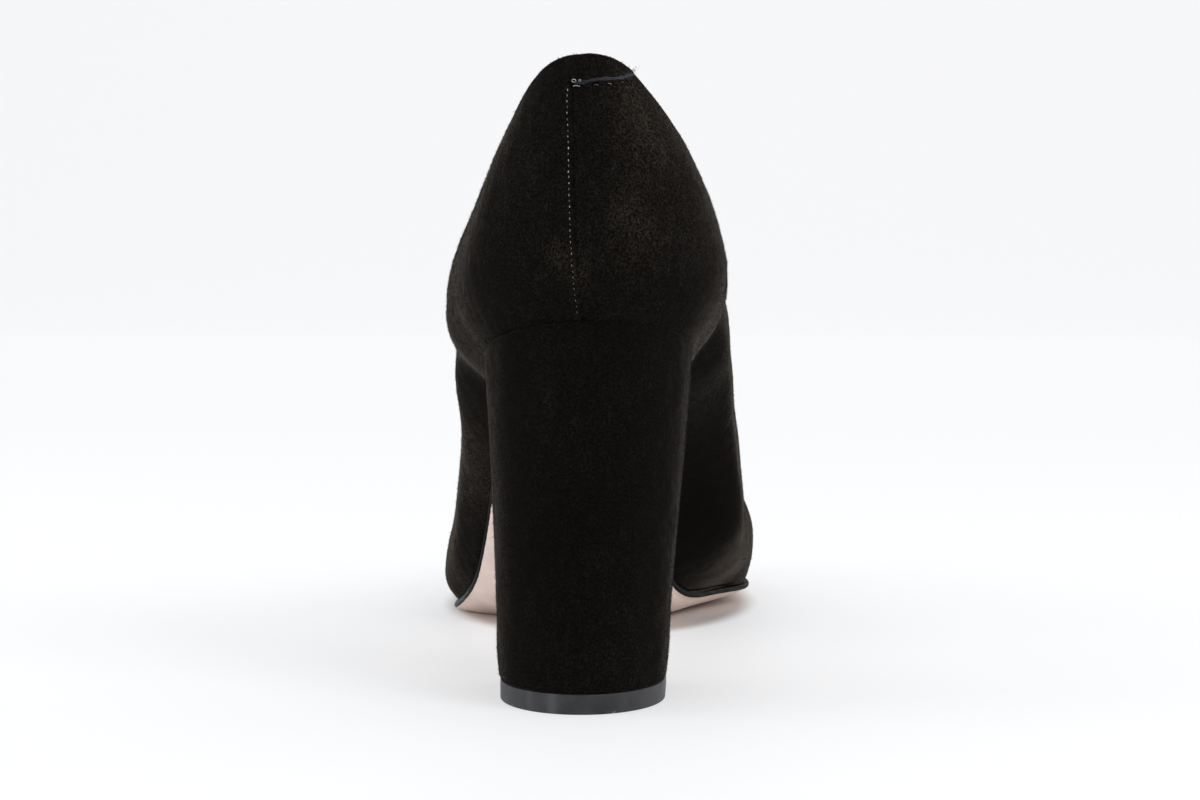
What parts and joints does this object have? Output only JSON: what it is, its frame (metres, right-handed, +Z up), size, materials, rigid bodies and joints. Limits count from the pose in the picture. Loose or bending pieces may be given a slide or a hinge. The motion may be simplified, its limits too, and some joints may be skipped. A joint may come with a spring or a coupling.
{
  "type": "block heel pump",
  "caption": "Left women's pump with a suede upper, low cut collar, covered straight block heel, rubber top lift and a thin leather outsole.",
  "frame": {"origin": "on the floor, under the middle of the shoe's bounding box in plan", "axes": "+Y towards the toe, +X towards the inner side of this left shoe, +Z up from the floor"},
  "size_m": [0.0882, 0.2488, 0.1452],
  "materials": {
    "upper_suede": "matt black suede with a short nap, brushed lighter in places",
    "heel_suede": "matt black suede stretched over the heel block",
    "sole_leather": "smooth waxed beige leather with a black painted edge",
    "sock_leather": "smooth matt lining leather",
    "lift_rubber": "satin dark grey rubber"
  },
  "bodies": {
    "root": {"upper": "upper_suede", "insole": "sock_leather", "outsole": "sole_leather", "heel_block": "heel_suede", "top_lift": "lift_rubber"}
  },
  "joints": []
}
